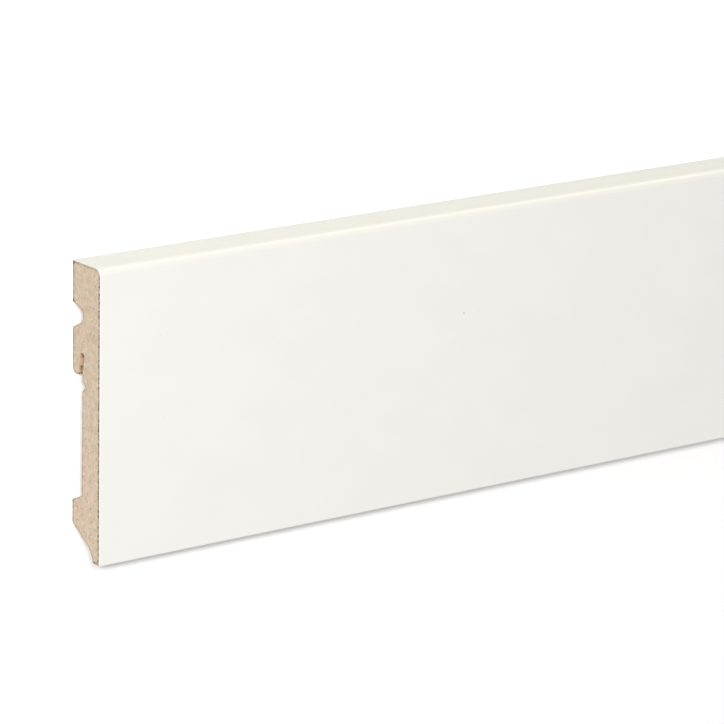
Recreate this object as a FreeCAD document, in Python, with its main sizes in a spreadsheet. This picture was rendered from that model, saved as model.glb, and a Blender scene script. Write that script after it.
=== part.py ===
# Skirting board: a length of milled fibreboard moulding, wrapped in a white foil.
#
# It lies on its wall side, as it would on a level floor: X runs along the board, Y from the
# bottom edge to the top edge, Z from the wall side to the room side. The origin is at the
# middle of the length and height, in the plane of the wall side. All sizes are millimetres.
#
# Every section sketch has its own zero where floor and wall meet: "rise" is the height above
# the floor and "out" is the distance from the wall, as on the fitted board.
import FreeCAD, Part
import os
import Sketcher

# Each driving dimension: its name, its value and what it measures
SIZES = [
    ("board_length", 2400, "length that this moulding is sold in"),
    ("board_height", 100, "bottom edge to top edge, foil included"),
    ("board_thickness", 16, "wall side to room side, foil included"),
    ("foil_thickness", 0.3, "white foil round the room side"),
    ("foil_back_margin", 0.1, "top of the board left bare beside the wall"),
    ("foil_toe_margin", 0.5, "underside of the toe left bare at its inner edge"),
    ("front_top_radius", 2.7, "fibreboard's round-over between top and room side"),
    ("front_bottom_radius", 0.1, "fibreboard's eased edge between toe and room side"),
    ("cable_groove_drop", 18.2, "top of the board to the middle of the cable groove"),
    ("cable_groove_mouth", 8.5, "width of the cable groove at the wall side"),
    ("cable_groove_depth", 5.8, "depth of the cable groove"),
    ("cable_groove_upper_flare", 20, "lean of the upper flank of the cable groove, degrees"),
    ("cable_groove_lower_flare", 27, "lean of the lower flank of the cable groove, degrees"),
    ("cable_groove_radius", 2, "corners at the floor of the cable groove"),
    ("tongue_drop", 37.7, "top of the board to the end of the tongue"),
    ("tongue_radius", 2, "wall-side corner of the tongue's end"),
    ("clip_slot_width", 2.4, "clip slot behind the tongue"),
    ("clip_slot_reach", 7.4, "tongue's end to the closed end of the slot, along the slot"),
    ("clip_slot_lean", 8.5, "lean of the slot towards the room side, degrees"),
    ("clip_slot_radius", 1, "corners at the closed end of the slot"),
    ("recess_depth_tongue", 5.8, "depth of the clip recess beside the tongue"),
    ("recess_depth_foot", 5.4, "depth of the clip recess beside the foot"),
    ("recess_radius", 0.5, "inner corner of the recess above the foot"),
    ("notch_drop", 3.4, "tongue's end to the tip of the snap notch"),
    ("notch_depth", 1.8, "snap notch below the floor of the recess"),
    ("notch_upper_flank", 35, "upper flank of the notch to the notch's axis, degrees"),
    ("notch_lower_flank", 46, "lower flank of the notch to the notch's axis, degrees"),
    ("notch_radius", 0.3, "tip of the notch"),
    ("foot_top_rise", 19.2, "floor to the top of the foot, at the wall"),
    ("foot_top_slope", 24, "climb of the foot's top away from the wall, degrees"),
    ("foot_radius", 0.5, "upper wall-side corner of the foot"),
    ("heel_rise", 11.2, "floor to the lower corner of the foot, at the wall"),
    ("toe_width", 3.5, "flat of the toe that meets the floor"),
    ("toe_flank_run", 2.4, "steep inner flank of the toe, measured along the floor"),
    ("toe_flank_rise", 4.5, "steep inner flank of the toe, measured up the wall"),
    ("underside_radius", 4.5, "hollow where the toe's flank meets the underside of the foot"),
    ("cutter_overrun", 1, "how far each cutter reaches into the open beside its cut"),
]

# Share of a wall that the radius at one of its ends may take up
EDGE_SHARE = 0.9
HALF_SHARE = 0.45

# Places that several features share
FLOOR = "0"
WALL = "0"
TOP = "Sizes.board_height"
FACE = "Sizes.board_thickness"
FOIL = "Sizes.foil_thickness"
CORE_TOP = "(Sizes.board_height - Sizes.foil_thickness)"
CORE_FACE = "(Sizes.board_thickness - Sizes.foil_thickness)"
TONGUE_END = "(Sizes.board_height - Sizes.tongue_drop)"
TOE_EDGE = "(Sizes.board_thickness - Sizes.toe_width)"
OUTSIDE = "-Sizes.cutter_overrun"


def make_sizes(doc):
    """The sheet of driving dimensions, one row each, with the name as the cell's alias."""
    sheet = doc.addObject("Spreadsheet::Sheet", "Sizes")
    for row, (name, value, meaning) in enumerate(SIZES, start=1):
        sheet.set("A%d" % row, meaning)
        sheet.set("B%d" % row, str(value))
        sheet.setAlias("B%d" % row, name)
    doc.recompute()


def make_body(doc, label):
    """A body whose own zero, where floor and wall meet, lies half a board height below the origin."""
    body = doc.addObject("PartDesign::Body", label)
    body.Label = label
    body.setExpression("Placement.Base.y", "-Sizes.board_height / 2")
    return body


def number(thing, formula):
    """The present value of a formula on the sheet."""
    return float(thing.evalExpression(formula))


def make_outline(body, name, corners):
    """A closed outline in the section plane, through corners given as (rise, out) formulas."""
    sketch = body.newObject("Sketcher::SketchObject", name)
    section_plane = [plane for plane in body.Origin.OriginFeatures if plane.Role == "YZ_Plane"]
    sketch.AttachmentSupport = (section_plane[0], [""])
    sketch.MapMode = "FlatFace"
    points = [FreeCAD.Vector(number(sketch, rise), number(sketch, out), 0) for rise, out in corners]
    following = points[1:] + points[:1]
    for start, end in zip(points, following):
        sketch.addGeometry(Part.LineSegment(start, end))
    for side in range(len(corners)):
        next_side = (side + 1) % len(corners)
        sketch.addConstraint(Sketcher.Constraint("Coincident", side, 2, next_side, 1))
    for side, corner in enumerate(corners):
        for direction, formula in zip(("DistanceX", "DistanceY"), corner):
            value = number(sketch, formula)
            limit = sketch.addConstraint(Sketcher.Constraint(direction, -1, 1, side, 1, value))
            sketch.setExpression("Constraints[%d]" % limit, formula)
    return sketch


def run_along_board(body, kind, name, outline):
    """A pad or a pocket of the outline, as long as the board, half to each side of its middle."""
    feature = body.newObject(kind, name)
    feature.Profile = outline
    feature.Midplane = True
    feature.setExpression("Length", "Sizes.board_length")
    body.Document.recompute()


def make_cut(body, name, corners):
    """A cutter's outline run along the whole board. It has to take material away."""
    before = body.Shape.Volume
    outline = make_outline(body, name + "_outline", corners)
    run_along_board(body, "PartDesign::Pocket", name, outline)
    if body.Shape.Volume >= before:
        raise RuntimeError(name + " cuts nothing")


def make_round(body, name, radius, corners):
    """Rounds the long edges that run through the given (rise, out) corners."""
    base = body.Tip
    edges = []
    for rise, out in corners:
        spot = Part.Vertex(0, number(base, rise), number(base, out))
        for index, edge in enumerate(base.Shape.Edges, start=1):
            if edge.distToShape(spot)[0] < 0.001:
                edges.append("Edge%d" % index)
    if len(edges) != len(corners):
        raise RuntimeError(name + " does not find its edges")
    feature = body.newObject("PartDesign::Fillet", name)
    feature.Base = (base, edges)
    feature.setExpression("Radius", radius)
    body.Document.recompute()


def make_mdf_core(doc):
    """The fibreboard: a blank with a rounded room-side edge, then the cuts in its wall side."""
    body = make_body(doc, "mdf_core")
    blank = [(FOIL, WALL), (FOIL, CORE_FACE), (CORE_TOP, CORE_FACE), (CORE_TOP, WALL)]
    run_along_board(body, "PartDesign::Pad", "blank", make_outline(body, "blank_outline", blank))
    make_round(body, "round_over", "Sizes.front_top_radius", [(CORE_TOP, CORE_FACE)])
    make_round(body, "eased_edge", "Sizes.front_bottom_radius", [(FOIL, CORE_FACE)])
    cut_cable_groove(body)
    cut_clip_recess(body)
    cut_clip_slot(body)
    cut_snap_notch(body)
    cut_underside(body)
    return body


def cut_cable_groove(body):
    """A flared groove high on the wall side, where a thin cable can lie."""
    middle = "(Sizes.board_height - Sizes.cable_groove_drop)"
    depth = "Sizes.cable_groove_depth"
    upper_lean = "tan(Sizes.cable_groove_upper_flare)"
    lower_lean = "tan(Sizes.cable_groove_lower_flare)"

    def upper_flank(out):
        return "%s + Sizes.cable_groove_mouth / 2 - (%s) * %s" % (middle, out, upper_lean), out

    def lower_flank(out):
        return "%s - Sizes.cable_groove_mouth / 2 + (%s) * %s" % (middle, out, lower_lean), out

    floor_corners = [upper_flank(depth), lower_flank(depth)]
    make_cut(body, "cable_groove", [lower_flank(OUTSIDE), upper_flank(OUTSIDE)] + floor_corners)
    floor_width = "(Sizes.cable_groove_mouth - %s * (%s + %s))" % (depth, upper_lean, lower_lean)
    steepest = "min(Sizes.cable_groove_upper_flare; Sizes.cable_groove_lower_flare)"
    widest = "%s * %s / tan(45 - %s / 2)" % (HALF_SHARE, floor_width, steepest)
    make_round(body, "cable_groove_corners", "min(Sizes.cable_groove_radius; %s)" % widest, floor_corners)


def cut_clip_recess(body):
    """The wide shallow recess for the wall clips, between the tongue's end and the foot's top."""
    climb = "tan(Sizes.foot_top_slope)"
    inner_corner = ("Sizes.foot_top_rise + Sizes.recess_depth_foot * " + climb, "Sizes.recess_depth_foot")
    outer_corner = ("Sizes.foot_top_rise - Sizes.cutter_overrun * " + climb, OUTSIDE)
    tongue_side = [(TONGUE_END, OUTSIDE), (TONGUE_END, "Sizes.recess_depth_tongue")]
    make_cut(body, "clip_recess", tongue_side + [inner_corner, outer_corner])
    make_round(body, "recess_corner", "Sizes.recess_radius", [inner_corner])
    make_round(body, "foot_corner", "Sizes.foot_radius", [("Sizes.foot_top_rise", WALL)])


def cut_clip_slot(body):
    """The narrow slot behind the tongue. Its room-side flank starts at the floor of the recess."""
    sine = "sin(Sizes.clip_slot_lean)"
    cosine = "cos(Sizes.clip_slot_lean)"

    def on_room_flank(along):
        rise = "%s + (%s) * %s" % (TONGUE_END, along, cosine)
        out = "Sizes.recess_depth_tongue + (%s) * %s" % (along, sine)
        return rise, out

    def on_wall_flank(along):
        rise, out = on_room_flank(along)
        return rise + " + Sizes.clip_slot_width * " + sine, out + " - Sizes.clip_slot_width * " + cosine

    closed_end = [on_room_flank("Sizes.clip_slot_reach"), on_wall_flank("Sizes.clip_slot_reach")]
    open_end = [on_wall_flank(OUTSIDE), on_room_flank(OUTSIDE)]
    make_cut(body, "clip_slot", closed_end + open_end)
    widest = "%s * Sizes.clip_slot_width" % HALF_SHARE
    make_round(body, "clip_slot_corners", "min(Sizes.clip_slot_radius; %s)" % widest, closed_end)
    tongue_end_width = "(Sizes.recess_depth_tongue - Sizes.clip_slot_width / %s)" % cosine
    rounding = "min(Sizes.tongue_radius; %s * %s)" % (EDGE_SHARE, tongue_end_width)
    make_round(body, "tongue_corner", rounding, [(TONGUE_END, WALL)])


def cut_snap_notch(body):
    """The V-shaped notch in the recess's floor, just below the tongue, where a clip snaps in."""
    tip = (TONGUE_END + " - Sizes.notch_drop", "Sizes.recess_depth_tongue + Sizes.notch_depth")
    mouth = "Sizes.recess_depth_tongue - Sizes.cutter_overrun"
    spread = " (Sizes.notch_depth + Sizes.cutter_overrun) * "
    upper_corner = (tip[0] + " +" + spread + "tan(Sizes.notch_upper_flank)", mouth)
    lower_corner = (tip[0] + " -" + spread + "tan(Sizes.notch_lower_flank)", mouth)
    make_cut(body, "snap_notch", [lower_corner, upper_corner, tip])
    make_round(body, "snap_notch_tip", "Sizes.notch_radius", [tip])


def cut_underside(body):
    """The undercut that leaves only the toe on the floor. Its heel is the foot's lower corner."""
    hollow = ("Sizes.toe_flank_rise", TOE_EDGE + " - Sizes.toe_flank_run")
    heel_climb = "(Sizes.heel_rise - Sizes.toe_flank_rise) / (%s)" % hollow[1]
    past_heel = ("Sizes.heel_rise + Sizes.cutter_overrun * " + heel_climb, OUTSIDE)
    flank_run = "Sizes.toe_flank_run / Sizes.toe_flank_rise"
    past_toe = (OUTSIDE, TOE_EDGE + " + Sizes.cutter_overrun * " + flank_run)
    make_cut(body, "underside", [(OUTSIDE, OUTSIDE), past_toe, hollow, past_heel])
    make_round(body, "underside_hollow", "Sizes.underside_radius", [hollow])


def make_foil_wrap(doc):
    """The white foil: one thin sheet folded over the top, the room side and the toe."""
    body = make_body(doc, "foil_wrap")
    back_end = "Sizes.foil_back_margin"
    toe_end = TOE_EDGE + " + Sizes.foil_toe_margin"
    outside = [(TOP, back_end), (TOP, FACE), (FLOOR, FACE), (FLOOR, toe_end)]
    inside = [(FOIL, toe_end), (FOIL, CORE_FACE), (CORE_TOP, CORE_FACE), (CORE_TOP, back_end)]
    outline = make_outline(body, "sheet_outline", outside + inside)
    run_along_board(body, "PartDesign::Pad", "sheet", outline)
    make_round(body, "top_fold_inside", "Sizes.front_top_radius", [(CORE_TOP, CORE_FACE)])
    make_round(body, "toe_fold_inside", "Sizes.front_bottom_radius", [(FOIL, CORE_FACE)])
    make_round(body, "top_fold_outside", "Sizes.front_top_radius + " + FOIL, [(TOP, FACE)])
    make_round(body, "toe_fold_outside", "Sizes.front_bottom_radius + " + FOIL, [(FLOOR, FACE)])
    return body


def check(doc, bodies):
    """Stops before anything is written if an object failed or a body is not one sound solid."""
    for thing in doc.Objects:
        if "Invalid" in thing.State or "Error" in thing.State:
            raise RuntimeError(thing.Name + " is " + " ".join(thing.State))
    for body in bodies:
        if body.Shape.isNull() or not body.Shape.isValid() or len(body.Shape.Solids) != 1:
            raise RuntimeError(body.Label + " is not one sound solid")


def main():
    doc = FreeCAD.newDocument("skirting_board")
    make_sizes(doc)
    bodies = [make_mdf_core(doc), make_foil_wrap(doc)]
    doc.recompute()
    check(doc, bodies)
    os.makedirs("parts", exist_ok=True)
    for body in bodies:
        body.Shape.exportStep(os.path.join("parts", body.Label + ".step"))
        print("%s %.0f mm3" % (body.Label, body.Shape.Volume))


main()
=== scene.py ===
"""Looks of a skirting board: a milled fibreboard moulding with white foil round its room side."""
import math

import bpy
import numpy as np
from mathutils import Matrix, Vector, geometry


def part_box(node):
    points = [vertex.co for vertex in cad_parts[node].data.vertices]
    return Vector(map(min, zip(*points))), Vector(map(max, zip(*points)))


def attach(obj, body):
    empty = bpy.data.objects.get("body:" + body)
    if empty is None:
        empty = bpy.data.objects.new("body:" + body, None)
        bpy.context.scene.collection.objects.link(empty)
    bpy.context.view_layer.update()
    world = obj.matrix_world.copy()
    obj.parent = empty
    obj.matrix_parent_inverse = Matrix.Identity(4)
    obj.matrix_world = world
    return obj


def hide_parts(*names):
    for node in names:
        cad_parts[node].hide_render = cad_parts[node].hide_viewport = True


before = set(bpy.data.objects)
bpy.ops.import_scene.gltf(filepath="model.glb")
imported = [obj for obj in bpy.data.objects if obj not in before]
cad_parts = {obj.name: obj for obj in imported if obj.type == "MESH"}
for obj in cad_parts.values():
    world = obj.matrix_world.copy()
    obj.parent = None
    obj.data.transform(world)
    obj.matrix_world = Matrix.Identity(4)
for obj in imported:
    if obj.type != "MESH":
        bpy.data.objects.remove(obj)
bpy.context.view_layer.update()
MM = 0.001

# The board as a whole, in millimetres, read from the frame. It lies on its back: along the row
# frame's Y runs its height as fitted ("rise"), and along Z its distance from the wall ("out").
CORE_LOW, CORE_HIGH = (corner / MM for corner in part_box("mdf_core"))
FOIL_LOW, FOIL_HIGH = (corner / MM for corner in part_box("foil_wrap"))
LENGTH = CORE_HIGH.x - CORE_LOW.x
HEIGHT = FOIL_HIGH.y - FOIL_LOW.y
THICKNESS = FOIL_HIGH.z - CORE_LOW.z
FOIL = FOIL_HIGH.z - CORE_HIGH.z
FOIL_BACK_MARGIN = FOIL_LOW.z - CORE_LOW.z

# The rest of the section, in millimetres and degrees
FOIL_TOE_MARGIN = 0.5
FRONT_TOP_RADIUS = 2.7
FRONT_BOTTOM_RADIUS = 0.1
GROOVE_RISE = HEIGHT - 18.2
GROOVE_MOUTH = 8.5
GROOVE_DEPTH = 5.8
GROOVE_UPPER_FLARE = math.radians(20)
GROOVE_LOWER_FLARE = math.radians(27)
GROOVE_RADIUS = 2
TONGUE_END = HEIGHT - 37.7
TONGUE_RADIUS = 2
SLOT_WIDTH = 2.4
SLOT_REACH = 7.4
SLOT_LEAN = math.radians(8.5)
SLOT_RADIUS = 1
RECESS_DEPTH_TONGUE = 5.8
RECESS_DEPTH_FOOT = 5.4
RECESS_RADIUS = 0.5
NOTCH_RISE = TONGUE_END - 3.4
NOTCH_DEPTH = 1.8
NOTCH_UPPER_FLANK = math.radians(35)
NOTCH_LOWER_FLANK = math.radians(46)
NOTCH_RADIUS = 0.3
FOOT_TOP_RISE = 19.2
FOOT_TOP_SLOPE = math.radians(24)
FOOT_RADIUS = 0.5
HEEL_RISE = 11.2
TOE_EDGE = THICKNESS - 3.5
TOE_FLANK_RUN = 2.4
TOE_FLANK_RISE = 4.5
UNDERSIDE_RADIUS = 4.5

# How finely the outline and the sawn ends are divided, in millimetres and degrees
OUTLINE_STEP = 0.4
ARC_STEP = 9
GRID_STEP = 0.36
GRID_JITTER = 0.1
RIM_CLEARANCE = 0.2
SHARP_ANGLE = math.radians(25)
SEED = 7


# The section's outline

def fibreboard_corners():
    """The fibreboard's corners: rise, out, radius, and how the side that starts there was made."""
    core_top, core_face = HEIGHT - FOIL, THICKNESS - FOIL
    toe_lean = TOE_FLANK_RUN / TOE_FLANK_RISE
    groove_top, groove_foot = GROOVE_RISE + GROOVE_MOUTH / 2, GROOVE_RISE - GROOVE_MOUTH / 2
    groove_upper_corner = groove_top - GROOVE_DEPTH * math.tan(GROOVE_UPPER_FLARE)
    groove_lower_corner = groove_foot + GROOVE_DEPTH * math.tan(GROOVE_LOWER_FLARE)
    sine, cosine = math.sin(SLOT_LEAN), math.cos(SLOT_LEAN)
    slot_rise = TONGUE_END + SLOT_REACH * cosine
    slot_out = RECESS_DEPTH_TONGUE + SLOT_REACH * sine
    notch_top = NOTCH_RISE + NOTCH_DEPTH * math.tan(NOTCH_UPPER_FLANK)
    notch_foot = NOTCH_RISE - NOTCH_DEPTH * math.tan(NOTCH_LOWER_FLANK)
    recess_foot = FOOT_TOP_RISE + RECESS_DEPTH_FOOT * math.tan(FOOT_TOP_SLOPE)
    taper = (RECESS_DEPTH_TONGUE - RECESS_DEPTH_FOOT) / (TONGUE_END - recess_foot)

    def recess_floor(rise):
        return RECESS_DEPTH_TONGUE - taper * (TONGUE_END - rise)

    return [
        (FOIL, TOE_EDGE - FOIL * toe_lean, 0, "covered"),
        (FOIL, core_face, FRONT_BOTTOM_RADIUS, "covered"),
        (core_top, core_face, FRONT_TOP_RADIUS, "covered"),
        (core_top, 0, 0, "bare"),
        (groove_top, 0, 0, "milled"),
        (groove_upper_corner, GROOVE_DEPTH, GROOVE_RADIUS, "milled"),
        (groove_lower_corner, GROOVE_DEPTH, GROOVE_RADIUS, "milled"),
        (groove_foot, 0, 0, "bare"),
        (TONGUE_END, 0, TONGUE_RADIUS, "milled"),
        (TONGUE_END, RECESS_DEPTH_TONGUE - SLOT_WIDTH / cosine, 0, "slot"),
        (slot_rise + SLOT_WIDTH * sine, slot_out - SLOT_WIDTH * cosine, SLOT_RADIUS, "slot"),
        (slot_rise, slot_out, SLOT_RADIUS, "slot"),
        (TONGUE_END, RECESS_DEPTH_TONGUE, 0, "milled"),
        (notch_top, recess_floor(notch_top), 0, "milled"),
        (NOTCH_RISE, RECESS_DEPTH_TONGUE + NOTCH_DEPTH, NOTCH_RADIUS, "milled"),
        (notch_foot, recess_floor(notch_foot), 0, "milled"),
        (recess_foot, RECESS_DEPTH_FOOT, RECESS_RADIUS, "milled"),
        (FOOT_TOP_RISE, 0, FOOT_RADIUS, "bare"),
        (HEEL_RISE, 0, 0, "milled"),
        (TOE_FLANK_RISE, TOE_EDGE - TOE_FLANK_RUN, UNDERSIDE_RADIUS, "milled"),
    ]


def foil_corners():
    """The corners of the foil's inner face, which lies on the fibreboard's."""
    top, face = HEIGHT - FOIL, THICKNESS - FOIL
    return [
        (FOIL, TOE_EDGE + FOIL_TOE_MARGIN, 0, "foil"),
        (FOIL, face, FRONT_BOTTOM_RADIUS, "foil"),
        (top, face, FRONT_TOP_RADIUS, "foil"),
        (top, FOIL_BACK_MARGIN, 0, "foil"),
    ]


def arc_at(before, corner, after, radius):
    """The points of the arc that rounds a corner, or the corner itself where it is sharp."""
    if not radius:
        return [corner]
    back, onwards = (before - corner).normalized(), (after - corner).normalized()
    half_angle = back.angle(onwards) / 2
    centre = corner + (back + onwards).normalized() * (radius / math.sin(half_angle))
    reach = radius / math.tan(half_angle)
    first = corner + back * reach - centre
    last = corner + onwards * reach - centre
    turn = math.copysign(math.pi - 2 * half_angle, first.x * last.y - first.y * last.x)
    count = max(2, math.ceil(abs(math.degrees(turn)) / ARC_STEP))
    return [centre + Matrix.Rotation(turn * i / count, 2) @ first for i in range(count + 1)]


def traced(corners, closed=True):
    """The outline through its rounded corners in short steps, and the make of each step."""
    spots = [Vector(corner[:2]) for corner in corners]
    count = len(spots)
    arcs = [
        arc_at(spots[i - 1], spots[i], spots[(i + 1) % count], corners[i][2]) for i in range(count)
    ]
    points, makes = [], []
    for i, arc in enumerate(arcs):
        points += arc
        makes += [corners[i][3]] * len(arc)
        if closed or i + 1 < count:
            goal = arcs[(i + 1) % count][0]
            steps = math.ceil((goal - arc[-1]).length / OUTLINE_STEP)
            points += [arc[-1].lerp(goal, step / steps) for step in range(1, steps)]
            makes += [corners[i][3]] * (steps - 1)
    return np.array(points), makes


def outward_from(line, closed=True):
    """Each point's direction away from the solid, which lies to the right of the line's way."""
    ahead, behind = np.roll(line, -1, axis=0), np.roll(line, 1, axis=0)
    if not closed:
        ahead[-1], behind[0] = line[-1], line[0]
    way = ahead - behind
    normals = np.stack([-way[:, 1], way[:, 0]], axis=1)
    return normals / np.linalg.norm(normals, axis=1, keepdims=True)


# The flat sections that the board is drawn out from

def distance_to(points, starts, ends):
    """Each point's distance to the nearest of the line's pieces."""
    run = ends - starts
    reach = points[:, None, :] - starts[None, :, :]
    share = ((reach * run).sum(2) / (run * run).sum(1)).clip(0, 1)
    return np.linalg.norm(reach - share[:, :, None] * run, axis=2).min(1)


def grid_inside(outline):
    """A slightly uneven grid of points inside the outline, clear of its rim."""
    rng = np.random.default_rng(SEED)
    rises, outs = np.arange(0, HEIGHT, GRID_STEP), np.arange(0, THICKNESS, GRID_STEP)
    grid = np.array([(rise, out) for rise in rises for out in outs])
    grid += rng.uniform(-GRID_JITTER, GRID_JITTER, grid.shape)
    rise, out = grid[:, :1], grid[:, 1:]
    rise0, out0 = outline.T
    rise1, out1 = np.roll(outline, -1, axis=0).T
    level = np.where(out1 == out0, 1, out1 - out0)
    crossed = ((out0 > out) != (out1 > out)) & (rise < rise0 + (out - out0) * (rise1 - rise0) / level)
    grid = grid[crossed.sum(1) % 2 == 1]
    return grid[distance_to(grid, outline, np.roll(outline, -1, axis=0)) > RIM_CLEARANCE]


def section_piece(name, spots, faces, measures, outward):
    """A flat section in the plane x = 0 that faces along +X, with its measures as attributes."""
    mesh = bpy.data.meshes.new(name)
    places = [(0, (rise - HEIGHT / 2) * MM, out * MM) for rise, out in spots]
    mesh.from_pydata(places, [], faces)
    for title, values in measures.items():
        layer = mesh.attributes.new(title, "FLOAT", "POINT")
        layer.data.foreach_set("value", np.asarray(values, dtype=np.float32))
    layer = mesh.attributes.new("outward", "FLOAT_VECTOR", "POINT")
    directions = np.zeros((len(places), 3), dtype=np.float32)
    directions[:, 1:] = outward
    layer.data.foreach_set("vector", directions.ravel())
    mesh.update()
    if mesh.polygons[0].normal.x < 0:
        mesh.flip_normals()
    piece = bpy.data.objects.new(name, mesh)
    bpy.context.scene.collection.objects.link(piece)
    return piece


def fibreboard_section(name):
    """The fibreboard's section as a fine net, which knows how far each point is from each rim."""
    outline, makes = traced(fibreboard_corners())
    following = np.roll(outline, -1, axis=0)
    makes = np.array(makes)
    flat = [Vector(point) for point in (*outline, *grid_inside(outline))]
    loop = list(reversed(range(len(outline))))
    only_inside, merge_distance = 1, 1e-5
    net = geometry.delaunay_2d_cdt(flat, [], [loop], only_inside, merge_distance)
    spots, sources = np.array(net[0]), net[3]
    rim_index = np.array([min(source) if source else len(flat) for source in sources])
    on_rim = rim_index < len(outline)
    outward = np.zeros(spots.shape)
    outward[on_rim] = outward_from(outline)[rim_index[on_rim]]
    make = np.full(len(spots), "inside")
    make[on_rim] = makes[rim_index[on_rim]]

    def distance_from(*wanted):
        chosen = np.isin(makes, wanted)
        return distance_to(spots, outline[chosen], following[chosen])

    measures = {
        "rim": on_rim,
        "milled": np.isin(make, ["milled", "slot"]),
        "slot": make == "slot",
        "to_foil": distance_from("covered"),
        "to_bare": distance_from("bare"),
        "to_milled": distance_from("milled"),
    }
    return section_piece(name, spots, net[2], measures, outward)


def foil_section(name):
    """The foil's section: a ribbon one foil thick that follows the fibreboard's room side."""
    inner, _ = traced(foil_corners(), closed=False)
    outward = outward_from(inner, closed=False)
    outer = inner + outward * FOIL
    count = len(inner)
    faces = [(i, i + 1, count + i + 1, count + i) for i in range(count - 1)]
    lift = np.repeat([0, 1], count)
    directions = np.concatenate([np.zeros(outward.shape), outward])
    return section_piece(name, np.concatenate([inner, outer]), faces, {"rim": lift}, directions)


# Node trees: a plain value goes into an input, and a socket is linked to it

def add(tree, kind, inputs=None, **settings):
    """A node of that kind, with its settings made and its inputs fed."""
    node = tree.nodes.new(kind)
    for title, value in settings.items():
        setattr(node, title, value)
    for title, value in (inputs or {}).items():
        feed(tree, node.inputs[title], value)
    return node


def feed(tree, socket, value):
    """Links a socket's output to the input, or sets a plain value on it."""
    if isinstance(value, bpy.types.NodeSocket):
        tree.links.new(value, socket)
    else:
        socket.default_value = value


def maths(tree, operation, *values, clamp=False):
    """One sum of one to three values."""
    node = add(tree, "ShaderNodeMath", operation=operation, use_clamp=clamp)
    for socket, value in zip(node.inputs, values):
        feed(tree, socket, value)
    return node.outputs["Value"]


def product(tree, first, *others):
    """The values multiplied together."""
    for other in others:
        first = maths(tree, "MULTIPLY", first, other)
    return first


def vector_maths(tree, operation, first, second):
    """The outputs of one sum of two vectors."""
    node = add(tree, "ShaderNodeVectorMath", operation=operation)
    feed(tree, node.inputs[0], first)
    feed(tree, node.inputs[1], second)
    return node.outputs


def coordinate(tree, place, axis):
    """How far a place lies along an axis."""
    return add(tree, "ShaderNodeSeparateXYZ", {"Vector": place}).outputs[axis]


def from_nearer_end(tree, place, half_length):
    """How far along the board a place lies from the nearer end."""
    off_centre = maths(tree, "ABSOLUTE", coordinate(tree, place, "X"))
    return maths(tree, "SUBTRACT", half_length, off_centre)


def spread(tree, value, span, reach=(0.0, 1.0)):
    """The value, moved smoothly from its span to the one it is to reach, and held inside that."""
    inputs = {
        "Value": value,
        "From Min": span[0],
        "From Max": span[1],
        "To Min": reach[0],
        "To Max": reach[1],
    }
    return add(tree, "ShaderNodeMapRange", inputs, interpolation_type="SMOOTHSTEP").outputs["Result"]


# The board is drawn out from a section

# Two close rings lie behind each end, for its worn rim: their widths in ring steps, and the
# power with which the rim's easing grows towards the end
END_RINGS = (1.0, 2.0)
EASING_POWER = 2.0
MERGE_DISTANCE = 0.001 * MM

# Chips are coarser than the grains, and grow as their noise crosses this span
CHIPS_PER_GRAIN = 0.5
CHIPPED = (0.5, 0.7)


def moulding_tree():
    """Draws a section out along X, closes both ends, and gives the ends their sawn roughness."""
    tree = bpy.data.node_groups.new("drawn_out_moulding", "GeometryNodeTree")
    sockets = tree.interface
    sockets.new_socket("Geometry", in_out="OUTPUT", socket_type="NodeSocketGeometry")
    sockets.new_socket("Section", in_out="INPUT", socket_type="NodeSocketGeometry")
    for title in ("Length", "Ring step", "Sawn relief", "Grains per metre", "Rim easing", "Rim chips"):
        sockets.new_socket(title, in_out="INPUT", socket_type="NodeSocketFloat")
    sockets.new_socket("Surface", in_out="INPUT", socket_type="NodeSocketMaterial")
    given = add(tree, "NodeGroupInput").outputs
    half = product(tree, given["Length"], 0.5)
    start = add(tree, "GeometryNodeSetPosition", {
        "Geometry": given["Section"],
        "Offset": along_x(tree, product(tree, half, -1.0)),
    }).outputs["Geometry"]
    drawn, front = drawn_out(tree, start, given["Length"], given["Ring step"])
    drawn = stored(tree, drawn, "cut_end", front)
    closing = add(tree, "GeometryNodeFlipFaces", {"Mesh": stored(tree, start, "cut_end", 1.0)})
    joined = add(tree, "GeometryNodeJoinGeometry", {"Geometry": drawn})
    tree.links.new(closing.outputs["Mesh"], joined.inputs["Geometry"])
    closed = add(tree, "GeometryNodeMergeByDistance", {
        "Geometry": joined.outputs["Geometry"],
        "Distance": MERGE_DISTANCE,
    }).outputs["Geometry"]
    closed = sharp_edged(tree, roughened(tree, closed, given, half))
    painted = add(tree, "GeometryNodeSetMaterial", {"Geometry": closed, "Material": given["Surface"]})
    real = add(tree, "GeometryNodeRealizeInstances", {"Geometry": painted.outputs["Geometry"]})
    add(tree, "NodeGroupOutput", {"Geometry": real.outputs["Geometry"]})
    return tree


def along_x(tree, distance):
    """A step of that distance along the board."""
    return add(tree, "ShaderNodeCombineXYZ", {"X": distance}).outputs["Vector"]


def stored(tree, mesh, title, value):
    """The mesh with a number stored on each of its faces."""
    inputs = {"Geometry": mesh, "Name": title, "Value": value}
    settings = {"data_type": "FLOAT", "domain": "FACE"}
    return add(tree, "GeometryNodeStoreNamedAttribute", inputs, **settings).outputs["Geometry"]


def recalled(tree, title, kind="FLOAT"):
    """What is stored on the mesh under that title."""
    return add(tree, "GeometryNodeInputNamedAttribute", {"Name": title}, data_type=kind).outputs[0]


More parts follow.
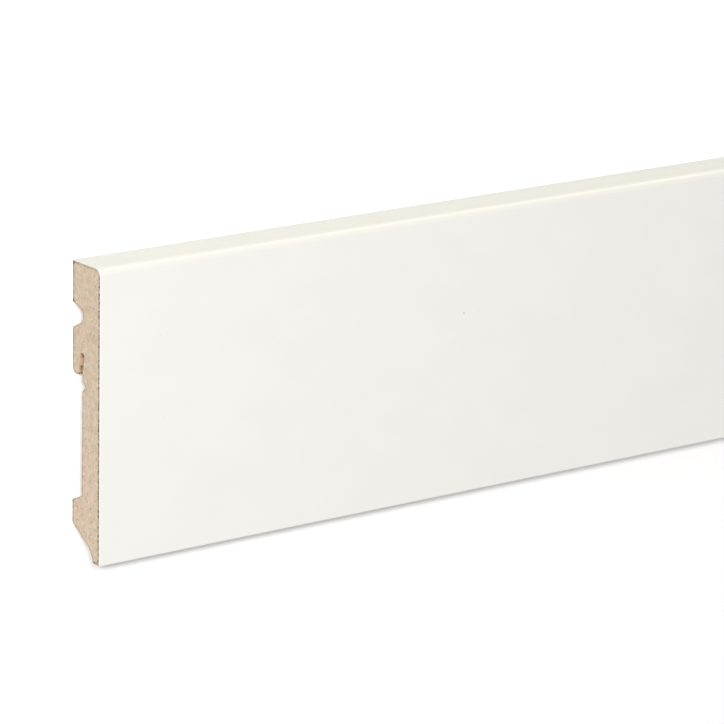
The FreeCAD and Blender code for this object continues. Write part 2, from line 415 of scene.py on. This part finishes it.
def drawn_out(tree, mesh, length, ring_step):
    """The section pushed out along X from ring to ring, and its last face."""
    close, wide = (product(tree, ring_step, width) for width in END_RINGS)
    middle = maths(tree, "MULTIPLY_ADD", ring_step, -2.0 * sum(END_RINGS), length)
    front = None
    for step in (close, wide, middle, wide, close):
        push = add(tree, "GeometryNodeExtrudeMesh", {"Mesh": mesh, "Individual": False}, mode="FACES")
        tree.links.new(along_x(tree, step), push.inputs["Offset"])
        if front is not None:
            tree.links.new(front, push.inputs["Selection"])
        mesh, front = push.outputs["Mesh"], push.outputs["Top"]
    return mesh, front


def roughened(tree, mesh, given, half):
    """The mesh with its end faces sunk unevenly and their rims eased and chipped."""
    place = add(tree, "GeometryNodeInputPosition").outputs["Position"]
    from_end = from_nearer_end(tree, place, half)
    at_end = maths(tree, "LESS_THAN", from_end, product(tree, given["Ring step"], 0.5))
    inwards = product(tree, maths(tree, "SIGN", coordinate(tree, place, "X")), -1.0)
    grains = noise_at(tree, place, given["Grains per metre"])
    chips = noise_at(tree, place, product(tree, given["Grains per metre"], CHIPS_PER_GRAIN))
    chips = product(tree, spread(tree, chips, CHIPPED), recalled(tree, "rim"), given["Rim chips"])
    sink = maths(tree, "MULTIPLY_ADD", grains, given["Sawn relief"], chips)
    sink = product(tree, sink, at_end, inwards)
    worn_width = product(tree, given["Ring step"], sum(END_RINGS))
    behind = maths(tree, "DIVIDE", from_end, worn_width, clamp=True)
    easing = maths(tree, "POWER", maths(tree, "SUBTRACT", 1.0, behind), EASING_POWER)
    easing = product(tree, easing, given["Rim easing"], -1.0)
    eased = add(tree, "ShaderNodeVectorMath", {"Scale": easing}, operation="SCALE")
    tree.links.new(recalled(tree, "outward", "FLOAT_VECTOR"), eased.inputs[0])
    moved = vector_maths(tree, "ADD", along_x(tree, sink), eased.outputs["Vector"])
    inputs = {"Geometry": mesh, "Offset": moved["Vector"]}
    return add(tree, "GeometryNodeSetPosition", inputs).outputs["Geometry"]


def noise_at(tree, place, scale):
    """A fine noise over the mesh, the same each time."""
    inputs = {"Vector": place, "W": float(SEED), "Scale": scale}
    return add(tree, "ShaderNodeTexNoise", inputs, noise_dimensions="4D").outputs[0]


def sharp_edged(tree, mesh):
    """Arcs shade round, and every edge that turns more than the sharp angle stays crisp."""
    angle = add(tree, "GeometryNodeInputMeshEdgeAngle").outputs["Unsigned Angle"]
    gentle = maths(tree, "LESS_THAN", angle, SHARP_ANGLE)
    round_faces = add(tree, "GeometryNodeSetShadeSmooth", {"Geometry": mesh}, domain="FACE")
    inputs = {"Geometry": round_faces.outputs["Geometry"], "Shade Smooth": gentle}
    return add(tree, "GeometryNodeSetShadeSmooth", inputs, domain="EDGE").outputs["Geometry"]


def draw_out(piece, tree, sizes, surface):
    """Makes the section the whole moulding, as a plain mesh with its place in its points."""
    modifier = piece.modifiers.new("drawn out", "NODES")
    modifier.node_group = tree
    for item in tree.interface.items_tree:
        if item.in_out == "INPUT" and item.name in sizes:
            modifier[item.identifier] = sizes[item.name]
        elif item.name == "Surface":
            modifier[item.identifier] = surface
    depsgraph = bpy.context.evaluated_depsgraph_get()
    evaluated = piece.evaluated_get(depsgraph)
    mesh = bpy.data.meshes.new_from_object(
        evaluated, preserve_all_data_layers=True, depsgraph=depsgraph
    )
    piece.modifiers.clear()
    piece.data = mesh
    mesh.name = piece.name


# Materials, with their patterns counted per millimetre of the board

# A noise seldom leaves the first span, and mostly keeps to the second
NOISE_SPAN = (0.3, 0.7)
NOISE_MIDDLE = (0.35, 0.65)

# A mark is full up to this share of its radius, and waves of scale one come once in this length
MARK_CORE = 0.4
WAVE_LENGTH = math.tau / 20


def new_surface(name, colour, roughness):
    """A material, its node tree, its shader and a place on the board in millimetres."""
    material = bpy.data.materials.new(name)
    material.use_nodes = True
    material.diffuse_color = (*colour, 1)
    tree = material.node_tree
    surface = tree.nodes["Principled BSDF"]
    surface.inputs["Base Color"].default_value = (*colour, 1)
    surface.inputs["Roughness"].default_value = sum(roughness) / 2
    place = add(tree, "ShaderNodeTexCoord").outputs["Object"]
    return material, tree, surface, vector_maths(tree, "MULTIPLY", place, [1 / MM] * 3)["Vector"]


def grain(tree, place, per_mm, detail=2.0, roughness=0.5):
    """A noise that repeats about that often in a millimetre along each axis."""
    inputs = {
        "Vector": vector_maths(tree, "MULTIPLY", place, per_mm)["Vector"],
        "Scale": 1.0,
        "Detail": detail,
        "Roughness": roughness,
    }
    return add(tree, "ShaderNodeTexNoise", inputs).outputs["Fac"]


def patches(tree, place, per_mm, span, reach=(0.0, 1.0), **noise):
    """A noise whose values in a span are stretched to reach from one share to another."""
    return spread(tree, grain(tree, place, per_mm, **noise), span, reach)


def waves(tree, place, pitch, distortion, detail=2.0, **settings):
    """Waves that come once in a pitch in millimetres, and wander a little."""
    inputs = {
        "Vector": place,
        "Scale": WAVE_LENGTH / pitch,
        "Distortion": distortion,
        "Detail": detail,
    }
    return add(tree, "ShaderNodeTexWave", inputs, **settings).outputs["Fac"]


def marked(tree, place, colour, mark_colour, centre, radius, strength):
    """The colour with one round mark, whose centre is a distance from the near end, rise and out."""
    from_end, rise, out = centre
    at = (CORE_LOW.x + from_end, rise - HEIGHT / 2, out)
    gap = vector_maths(tree, "DISTANCE", place, at)["Value"]
    mark = spread(tree, gap, (radius * MARK_CORE, radius), (1.0, 0.0))
    return mixed(tree, product(tree, mark, strength), colour, mark_colour)


def stored_on_mesh(tree, title):
    """What is stored on the mesh under that title, for a material."""
    return add(tree, "ShaderNodeAttribute", attribute_name=title).outputs["Fac"]


def mixed(tree, share, first, second):
    """Two colours mixed, each a plain colour or a socket."""
    node = add(tree, "ShaderNodeMix", data_type="RGBA")
    feed(tree, node.inputs[0], share)
    for socket, colour in ((node.inputs[6], first), (node.inputs[7], second)):
        feed(tree, socket, colour if isinstance(colour, bpy.types.NodeSocket) else (*colour, 1))
    return node.outputs[2]


def bumped(tree, height, depth, under=None):
    """A bump of that depth in millimetres, over another one."""
    node = add(tree, "ShaderNodeBump", {"Height": height, "Distance": depth * MM})
    if under is not None:
        tree.links.new(under, node.inputs["Normal"])
    return node.outputs["Normal"]


# Fibreboard: tan, matt, with its fibres pressed flat in the plane of the board
FIBRE_ROSY = (0.815, 0.632, 0.491)
FIBRE_STRAW = (0.785, 0.655, 0.482)
FIBRE_LIGHT = (0.97, 0.85, 0.70)
FIBRE_DARK = (0.45, 0.335, 0.235)
MILLED_TAN = (0.62, 0.49, 0.36)
# A scorched brown, also painted on as shade that darkens the slot's walls further in from the end
SCORCH_AND_SHADE_BROWN = (0.67, 0.44, 0.288)
GLUE_BROWN = (0.33, 0.228, 0.152)
# The dark of glue dots and burrs, also used for a painted shadow at the top corner by the wall
DARK_GLUE_BURR_AND_SHADOW = (0.045, 0.031, 0.022)
RIM_BROWN = (0.34, 0.26, 0.20)
FIBRE_ROUGHNESS = (0.75, 0.95)
MILLED_SHARE = 0.5

# How deep the tools' marks and the raised fibres are, in millimetres
FUZZ_DEPTH = 0.03
SAW_DEPTH = 0.012
KNIFE_DEPTH = 0.015

# Distances from a rim or an end between which wear, glue, scorching or painted shade changes, in
# millimetres
BARE_RIM = (0.25, 1.25)
MILLED_RIM = (0.25, 1.0)
GLUE_SOAKED = (0.45, 0.95)
GLUE_DOTTED = (0.5, 0.95)
# Painted shade: over this distance from the end the slot's walls turn darker
SLOT_SHADE_DEPTH = (0.0, 1.6)

# Heights over the board's middle, between which the fibreboard turns browner and the glue fades
BROWNING = (-35.0, 35.0)
GLUE_FADING = (HEIGHT / 2 - 4, HEIGHT / 2 - 1)

# Burrs at the near end, in the slot and on the groove's lip, and a painted shadow on the top corner by
# the wall: distance from the end, rise, out and radius
BURR_AND_SHADOW_STRENGTH = 0.85
BURRS_AND_CORNER_SHADOW = [
    (0.9, TONGUE_END + 6.7, 4.4, 0.5),
    (1.3, TONGUE_END + 5.9, 4.3, 0.5),
    (1.1, TONGUE_END + 2.5, 3.8, 0.55),
    (1.0, TONGUE_END + 1.6, 3.6, 0.4),
    (0.4, TONGUE_END + 0.3, 3.4, 0.45),
    (1.2, TONGUE_END + 0.4, 3.4, 0.5),
    (0, GROOVE_RISE + GROOVE_MOUTH / 2 + 0.3, 0.4, 0.8),
    # A painted shadow at the top corner by the wall, not a burr
    (0, HEIGHT - 0.8, 0.6, 0.9),
]


def fibreboard_surface():
    """Fibreboard, sawn on its ends, milled and scorched on its back, with glue under the foil, and
    painted shade in the slot and at the top corner by the wall.
    """
    name = "sawn_and_milled_fibreboard"
    material, tree, surface, place = new_surface(name, FIBRE_STRAW, FIBRE_ROUGHNESS)
    cut_end = stored_on_mesh(tree, "cut_end")
    side = maths(tree, "SUBTRACT", 1.0, cut_end)
    milled = product(tree, stored_on_mesh(tree, "milled"), side)
    colour = fibre_colour(tree, place)
    colour = mixed(tree, product(tree, milled, MILLED_SHARE), colour, MILLED_TAN)
    # The slot's scorch, with painted shade further in from the end
    colour = scorched_and_shaded_slot(tree, place, colour, side)
    # Rims, burrs, and a painted shadow at the top corner by the wall
    colour = worn_rims_and_corner_shadow(tree, place, colour, cut_end)
    colour = glue_line(tree, place, colour, cut_end)
    tree.links.new(colour, surface.inputs["Base Color"])
    fuzz = grain(tree, place, per_mm=(2.5, 2.5, 5.0), detail=3.0)
    roughness = spread(tree, fuzz, NOISE_SPAN, FIBRE_ROUGHNESS)
    tree.links.new(roughness, surface.inputs["Roughness"])
    normal = bumped(tree, fuzz, FUZZ_DEPTH)
    normal = bumped(tree, saw_marks(tree, place, cut_end), SAW_DEPTH, normal)
    normal = bumped(tree, knife_marks(tree, place, milled), KNIFE_DEPTH, normal)
    tree.links.new(normal, surface.inputs["Normal"])
    return material


def fibre_colour(tree, place):
    """Tan from rosy to straw, in soft clumps with pale and dark flecks, and browner high up."""
    hue = patches(tree, place, per_mm=(0.06, 0.2, 0.35), span=NOISE_MIDDLE)
    clumps = grain(tree, place, per_mm=(0.3, 0.33, 0.5), detail=4.0, roughness=0.6)
    clumps = spread(tree, clumps, span=NOISE_SPAN, reach=(0.0, 0.4))
    pale = patches(
        tree, place, per_mm=(0.8, 0.7, 0.95), span=(0.58, 0.74), reach=(0.0, 0.6), detail=1.0
    )
    dark = patches(
        tree, place, per_mm=(1.0, 0.9, 1.1), span=(0.59, 0.74), reach=(0.0, 0.78), detail=1.0
    )
    high = spread(tree, coordinate(tree, place, "Y"), span=BROWNING, reach=(0.0, 0.13))
    colour = mixed(tree, hue, FIBRE_ROSY, FIBRE_STRAW)
    colour = mixed(tree, clumps, colour, FIBRE_DARK)
    colour = mixed(tree, pale, colour, FIBRE_LIGHT)
    colour = mixed(tree, dark, colour, FIBRE_DARK)
    return mixed(tree, high, colour, FIBRE_DARK)


def scorched_and_shaded_slot(tree, place, colour, side):
    """The clip slot's narrow cutter ran hot, so its walls are brown, and painted shade darkens them
    further in from the end.
    """
    slot = product(tree, stored_on_mesh(tree, "slot"), side)
    # Painted shade: the slot darkens with distance from the end
    from_end = from_nearer_end(tree, place, LENGTH / 2)
    scorch_and_shade = spread(tree, from_end, span=SLOT_SHADE_DEPTH, reach=(0.35, 0.95))
    spots = patches(tree, place, per_mm=(0.6, 0.8, 0.8), span=(0.45, 0.65), reach=(0.0, 0.5))
    colour = mixed(tree, product(tree, slot, scorch_and_shade), colour, SCORCH_AND_SHADE_BROWN)
    return mixed(tree, product(tree, spots, slot), colour, GLUE_BROWN)


def worn_rims_and_corner_shadow(tree, place, colour, cut_end):
    """The sawn end's bare rims are crushed and darker, with burrs where the cutters met the saw, and a
    painted shadow at the top corner by the wall.
    """
    dots = patches(tree, place, per_mm=(0.7, 0.6, 0.7), span=(0.4, 0.62), reach=(0.5, 1.0))
    bare = spread(tree, stored_on_mesh(tree, "to_bare"), span=BARE_RIM, reach=(1.0, 0.0))
    milled = spread(tree, stored_on_mesh(tree, "to_milled"), span=MILLED_RIM, reach=(0.6, 0.0))
    edge = maths(tree, "MAXIMUM", bare, milled)
    colour = mixed(tree, product(tree, edge, dots, cut_end), colour, RIM_BROWN)
    for *centre, radius in BURRS_AND_CORNER_SHADOW:
        colour = marked(tree, place, colour, DARK_GLUE_BURR_AND_SHADOW, centre, radius, BURR_AND_SHADOW_STRENGTH)
    return colour


def glue_line(tree, place, colour, cut_end):
    """The glue under the foil soaked in and dried brown, with dark dots along the room side."""
    depth = stored_on_mesh(tree, "to_foil")
    strength = spread(tree, coordinate(tree, place, "Y"), span=GLUE_FADING, reach=(1.0, 0.35))
    on_end = product(tree, strength, cut_end)
    soaked = spread(tree, depth, span=GLUE_SOAKED, reach=(1.0, 0.0))
    dashes = patches(tree, place, per_mm=(0.4, 0.8, 0.8), span=(0.4, 0.6), reach=(0.35, 1.0))
    colour = mixed(tree, product(tree, soaked, dashes, on_end), colour, GLUE_BROWN)
    dotted = spread(tree, depth, span=GLUE_DOTTED, reach=(1.0, 0.0))
    dots = patches(tree, place, per_mm=(0.8, 1.1, 1.3), span=(0.5, 0.57), detail=1.0)
    return mixed(tree, product(tree, dotted, dots, on_end), colour, DARK_GLUE_BURR_AND_SHADOW)


def saw_marks(tree, place, cut_end):
    """Shallow arcs that the cross-cut saw left on the ends."""
    blade_centre = (0, 140, -90)
    shifted = add(tree, "ShaderNodeMapping", {"Vector": place, "Location": blade_centre})
    settings = {"wave_type": "RINGS", "rings_direction": "X"}
    from_centre = shifted.outputs["Vector"]
    rings = waves(tree, from_centre, pitch=0.9, distortion=0.6, detail=1.0, **settings)
    return product(tree, rings, cut_end)


def knife_marks(tree, place, milled):
    """Faint ripples across the length, and streaks along it, where cutters shaped the back."""
    ripple_share = 0.3
    ripples = waves(tree, place, pitch=1.6, distortion=0.3, bands_direction="X")
    streaks = grain(tree, place, per_mm=(0.02, 3.0, 3.0))
    marks = maths(tree, "MULTIPLY_ADD", ripples, ripple_share, streaks)
    return product(tree, marks, milled)


# Foil: warm white, satin, very finely dimpled, with a few specks pressed into it
FOIL_WHITE = (0.864, 0.854, 0.812)
FOIL_SHADE = (0.834, 0.824, 0.78)
# Painted shade on the rounded top edge, which narrows its highlight
FOIL_EDGE_SHADE = (0.786, 0.77, 0.728)
# Painted shade across the top, darkest by the wall
FOIL_WALL_SHADE = (0.8, 0.79, 0.76)
SPECK_GREY = (0.42, 0.41, 0.37)
FOIL_ROUGHNESS = (0.38, 0.46)
DIMPLE_DEPTH = 0.004

# Specks in the foil near the sawn end: distance from the end, rise, radius and strength
SPECKS = [
    (149.33, 64.2, 0.34, 0.95),
    (155.64, 64.67, 0.4, 0.12),
    (23.5, 74.7, 0.4, 0.22),
    (24.9, 46.8, 0.4, 0.22),
    (213.2, 35.6, 0.4, 0.18),
    (249.9, 47.4, 0.4, 0.15),
    (239.3, 43.0, 0.4, 0.12),
]


def foil_surface():
    """White foil, mottled, dimpled and specked, with painted shade on its rounded edge and by the
    wall.
    """
    material, tree, surface, place = new_surface("satin_white_foil", FOIL_WHITE, FOIL_ROUGHNESS)
    mottle = patches(
        tree, place, per_mm=(0.05, 0.08, 0.08), span=NOISE_MIDDLE, reach=(0.0, 0.35), detail=3.0
    )
    colour = mixed(tree, mottle, FOIL_WHITE, FOIL_SHADE)
    # Painted shade on the rounded top edge
    colour = mixed(tree, painted_edge_shade(tree, place), colour, FOIL_EDGE_SHADE)
    # Painted shade across the top towards the wall
    colour = mixed(tree, painted_wall_shade(tree, place), colour, FOIL_WALL_SHADE)
    for from_end, rise, radius, strength in SPECKS:
        centre = (from_end, rise, THICKNESS)
        colour = marked(tree, place, colour, SPECK_GREY, centre, radius, strength)
    tree.links.new(colour, surface.inputs["Base Color"])
    dimples = grain(tree, place, per_mm=(1.1, 1.1, 1.1))
    roughness = spread(tree, dimples, NOISE_SPAN, FOIL_ROUGHNESS)
    tree.links.new(roughness, surface.inputs["Roughness"])
    tree.links.new(bumped(tree, dimples, DIMPLE_DEPTH), surface.inputs["Normal"])
    return material


def painted_edge_shade(tree, place):
    """One on the rounded top edge, fading out on both sides: painted shade that narrows the highlight
    there.
    """
    radius = FRONT_TOP_RADIUS + FOIL
    fullness = 1.6
    up = maths(tree, "SUBTRACT", coordinate(tree, place, "Y"), HEIGHT / 2 - radius)
    out = maths(tree, "SUBTRACT", coordinate(tree, place, "Z"), THICKNESS - radius)
    up_share = maths(tree, "DIVIDE", up, radius, clamp=True)
    out_share = maths(tree, "DIVIDE", out, radius, clamp=True)
    both = product(tree, maths(tree, "SQRT", up_share), out_share)
    return maths(tree, "MULTIPLY", both, fullness, clamp=True)


def painted_wall_shade(tree, place):
    """Most on the top's wall edge, fading out towards its middle: painted shade across the top."""
    return spread(tree, coordinate(tree, place, "Z"), span=(0.0, THICKNESS / 2), reach=(0.7, 0.0))


# The room: floor, light and camera. A lamp's direction runs from the board to the lamp
WHITE = (1, 1, 1, 1)
WARM = (1, 0.96, 0.61)
SKY = 0.31
FLOOR_SIZE = 80
FLOOR_GREY = (0.5, 0.5, 0.5, 1)
GLOW_NEAR = 0.14
GLOW_FAR = 0.3
GLOW_RISES = (0.35, 0.9)
KEY_LIGHT = 1.77
KEY_FROM = Vector((-0.605, 0.335, 0.733))
KEY_ANGLE = math.radians(7)
NEAR_POWER = 2.62
NEAR_FROM = Vector((-0.455, 0.315, 0.81))
NEAR_AWAY = 0.9
NEAR_SIZE = 0.11
EDGE_LIGHT = 0.71
EDGE_FROM = Vector((0.5, 0.86, 0.06))
EDGE_ANGLE = math.radians(6)
NEAR_END = Vector((CORE_LOW.x * MM, 0, 0))


def seen_directly(tree):
    """One for rays that end in the picture: seen straight, mirrored, or through glass."""
    path = add(tree, "ShaderNodeLightPath").outputs
    mirrored = maths(tree, "MAXIMUM", path["Is Camera Ray"], path["Is Glossy Ray"])
    return maths(tree, "MAXIMUM", mirrored, path["Is Transmission Ray"])


def white_room():
    """The world is plain white to look at, and a softer light on the board."""
    world = bpy.data.worlds.new("white_room")
    bpy.context.scene.world = world
    world.use_nodes = True
    tree = world.node_tree
    background = tree.nodes["Background"]
    background.inputs["Color"].default_value = WHITE
    strength = spread(tree, seen_directly(tree), span=(0.0, 1.0), reach=(SKY, 1.0))
    tree.links.new(strength, background.inputs["Strength"])


def white_floor():
    """A floor that looks white, keeps the board's shadow, and throws back plain white light."""
    bpy.ops.mesh.primitive_plane_add(size=FLOOR_SIZE)
    floor = bpy.context.object
    floor.name = "studio_floor"
    material = bpy.data.materials.new("studio_floor_white")
    material.use_nodes = True
    tree = material.node_tree
    tree.nodes.clear()
    place = add(tree, "ShaderNodeTexCoord").outputs["Object"]
    gap = vector_maths(tree, "DISTANCE", place, NEAR_END)["Value"]
    strength = spread(tree, gap, span=GLOW_RISES, reach=(GLOW_NEAR, GLOW_FAR))
    glow = add(tree, "ShaderNodeEmission", {"Color": WHITE, "Strength": strength})
    shown = add(tree, "ShaderNodeBsdfDiffuse", {"Color": WHITE})
    bright = add(tree, "ShaderNodeAddShader")
    tree.links.new(glow.outputs[0], bright.inputs[0])
    tree.links.new(shown.outputs[0], bright.inputs[1])
    plain = add(tree, "ShaderNodeBsdfDiffuse", {"Color": FLOOR_GREY})
    chosen = add(tree, "ShaderNodeMixShader", {"Fac": seen_directly(tree)})
    tree.links.new(plain.outputs[0], chosen.inputs[1])
    tree.links.new(bright.outputs[0], chosen.inputs[2])
    output = add(tree, "ShaderNodeOutputMaterial")
    tree.links.new(chosen.outputs[0], output.inputs["Surface"])
    floor.data.materials.append(material)


def lamp(name, kind, towards, strength, colour, at=(0, 0, 0), **settings):
    """A lamp at a place, that shines from a direction, unseen by the camera itself."""
    light = bpy.data.lights.new(name, kind)
    light.energy = strength
    light.color = colour
    for title, value in settings.items():
        setattr(light, title, value)
    holder = bpy.data.objects.new(name, light)
    holder.location = at
    holder.rotation_mode = "QUATERNION"
    holder.rotation_quaternion = Vector(towards).to_track_quat("Z", "Y")
    holder.visible_camera = False
    bpy.context.scene.collection.objects.link(holder)


def studio_light():
    """A soft key from the camera's side, a steeper lamp that darkens the floor by the toe, and an
    edge light that brightens the top."""
    white = WHITE[:3]
    near_at = NEAR_END + NEAR_AWAY * NEAR_FROM
    lamp("key", "SUN", KEY_FROM, KEY_LIGHT, white, angle=KEY_ANGLE)
    lamp("near", "AREA", NEAR_FROM, NEAR_POWER, white, near_at, shape="DISK", size=NEAR_SIZE)
    lamp("edge_light", "SUN", EDGE_FROM, EDGE_LIGHT, WARM, angle=EDGE_ANGLE)


# The camera looks down on the board as the picture does, from beyond its top edge
CAMERA_AT = (-1.97134, 0.40225, 1.16474)
CAMERA_ALONG = (0.585071, -0.266019, -0.76611)
CAMERA_UP = (0.145244, 0.963768, -0.223731)
CAMERA_LENS = 221.61
CAMERA_SENSOR = 36


def picture_camera():
    """The camera, turned so that it looks along its own line with its top the right way up."""
    data = bpy.data.cameras.new("picture_camera")
    data.lens = CAMERA_LENS
    data.sensor_width = CAMERA_SENSOR
    camera = bpy.data.objects.new("picture_camera", data)
    back = -Vector(CAMERA_ALONG).normalized()
    right = Vector(CAMERA_UP).cross(back).normalized()
    turned = Matrix((right, back.cross(right), back)).transposed().to_4x4()
    camera.matrix_world = Matrix.Translation(CAMERA_AT) @ turned
    bpy.context.scene.collection.objects.link(camera)
    bpy.context.scene.camera = camera


# Making

FIBREBOARD_SIZES = {
    "Length": LENGTH * MM,
    "Ring step": 0.2 * MM,
    "Sawn relief": 0.05 * MM,
    "Grains per metre": 0.9 / MM,
    "Rim easing": 0.08 * MM,
    "Rim chips": 0.1 * MM,
}
FOIL_SIZES = {
    "Length": LENGTH * MM,
    "Ring step": 0.15 * MM,
    "Sawn relief": 0.0,
    "Grains per metre": 1.0 / MM,
    "Rim easing": 0.2 * MM,
    "Rim chips": 0.02 * MM,
}

bpy.context.scene.view_settings.view_transform = "Standard"
picture_camera()
white_room()
white_floor()
studio_light()

moulding = moulding_tree()
fibreboard = fibreboard_section("fibreboard_moulding")
draw_out(fibreboard, moulding, FIBREBOARD_SIZES, fibreboard_surface())
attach(fibreboard, "root")
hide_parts("mdf_core")

foil = foil_section("white_foil_wrap")
draw_out(foil, moulding, FOIL_SIZES, foil_surface())
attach(foil, "root")
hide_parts("foil_wrap")
